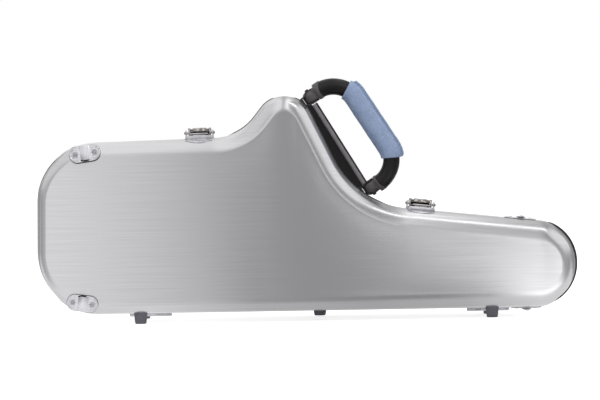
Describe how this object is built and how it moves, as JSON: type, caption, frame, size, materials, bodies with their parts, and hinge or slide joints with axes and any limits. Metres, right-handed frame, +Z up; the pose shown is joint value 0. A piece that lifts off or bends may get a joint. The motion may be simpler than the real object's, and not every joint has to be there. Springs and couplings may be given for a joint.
{
  "type": "tenor saxophone case",
  "caption": "Contoured hard case for a tenor saxophone: two hinged shells with a seal, padded beds, draw latches, a swinging wrapped handle, strap anchors and feet.",
  "frame": {"origin": "on the floor under the middle of the whole case's box", "axes": "+X along the case towards the neck end, +Y from the front shell to the rear shell, +Z up from the feet"},
  "size_m": [0.8822, 0.2136, 0.3918],
  "materials": {
    "shell": "brushed lengthways under clear lacquer",
    "seal": "matt black",
    "plush": "short dark plush over foam",
    "nickel": "nickel plate with light scuffs",
    "black_plastic": "semi-gloss black",
    "strip": "satin dark grey",
    "grey_plastic": "matt grey-black",
    "leather": "pebbled grey-blue leather",
    "foot_rubber": "dull grey rubber"
  },
  "bodies": {
    "root": {"rear_shell": "shell", "rim_seal": "seal", "rear_bed": "plush", "hinge_leaf_rear_left": "nickel", "hinge_pin_left": "nickel", "hinge_screw_rear_left_a": "nickel", "hinge_screw_rear_left_b": "nickel", "hinge_leaf_rear_right": "nickel", "hinge_pin_right": "nickel", "hinge_screw_rear_right_a": "nickel", "hinge_screw_rear_right_b": "nickel", "latch_base_left": "nickel", "latch_screw_left_a": "nickel", "latch_screw_left_b": "nickel", "latch_base_right": "nickel", "latch_screw_right_a": "nickel", "latch_screw_right_b": "nickel", "rear_foot_left": "foot_rubber", "rear_foot_right": "foot_rubber", "rear_bumper": "foot_rubber", "handle_bracket_upper": "grey_plastic", "handle_bracket_lower": "grey_plastic", "handle_mount": "black_plastic", "handle_mount_cap": "strip", "handle_pin_upper": "grey_plastic", "handle_pin_lower": "grey_plastic"},
    "lid": {"front_shell": "shell", "front_bed": "plush", "hinge_leaf_front_left": "nickel", "hinge_screw_front_left_a": "nickel", "hinge_screw_front_left_b": "nickel", "hinge_leaf_front_right": "nickel", "hinge_screw_front_right_a": "nickel", "hinge_screw_front_right_b": "nickel", "latch_keeper_left": "nickel", "keeper_screw_left": "nickel", "latch_keeper_right": "nickel", "keeper_screw_right": "nickel", "strap_anchor_top_left": "nickel", "anchor_screw_top_left_a": "nickel", "anchor_screw_top_left_b": "nickel", "strap_anchor_top_right": "nickel", "anchor_screw_top_right_a": "nickel", "anchor_screw_top_right_b": "nickel", "strap_anchor_base_left": "nickel", "anchor_screw_base_left_a": "nickel", "anchor_screw_base_left_b": "nickel", "strap_anchor_base_right": "nickel", "anchor_screw_base_right_a": "nickel", "anchor_screw_base_right_b": "nickel", "front_foot_left": "foot_rubber", "front_foot_right": "foot_rubber", "front_bumper": "foot_rubber"},
    "handle": {"handle_loop": "black_plastic", "handle_wrap": "leather"},
    "latch_lever_left": {"latch_lever_left": "nickel"},
    "latch_bail_left": {"latch_bail_left": "nickel"},
    "latch_lever_right": {"latch_lever_right": "nickel"},
    "latch_bail_right": {"latch_bail_right": "nickel"}
  },
  "joints": [
    {"name": "lid_hinge", "type": "hinge", "parent": "root", "child": "lid", "pos_m": [0, 0.00587, 0.0101], "axis": [1, 0, 0], "range_deg": [0, 105]},
    {"name": "handle_swing", "type": "hinge", "parent": "root", "child": "handle", "pos_m": [0.00963, 0.02387, 0.36222], "axis": [0.5402, 0, -0.8415], "range_deg": [-60, 60]},
    {"name": "latch_lever_left_turn", "type": "hinge", "parent": "root", "child": "latch_lever_left", "pos_m": [-0.17203, 0.01387, 0.3057], "axis": [0.9998, 0, 0.0215], "range_deg": [0, 90]},
    {"name": "latch_bail_left_turn", "type": "hinge", "parent": "latch_lever_left", "child": "latch_bail_left", "pos_m": [-0.17196, 0.02027, 0.3027], "axis": [0.9998, 0, 0.0215], "range_deg": [-90, 0]},
    {"name": "latch_lever_right_turn", "type": "hinge", "parent": "root", "child": "latch_lever_right", "pos_m": [0.18695, 0.01387, 0.18365], "axis": [0.9946, 0, -0.1035], "range_deg": [0, 90]},
    {"name": "latch_bail_right_turn", "type": "hinge", "parent": "latch_lever_right", "child": "latch_bail_right", "pos_m": [0.18664, 0.02027, 0.18067], "axis": [0.9946, 0, -0.1035], "range_deg": [-90, 0]}
  ],
  "couplings": [
    {"joint": "latch_bail_left_turn", "follows": "latch_lever_left_turn", "ratio": -1},
    {"joint": "latch_bail_right_turn", "follows": "latch_lever_right_turn", "ratio": -1}
  ]
}
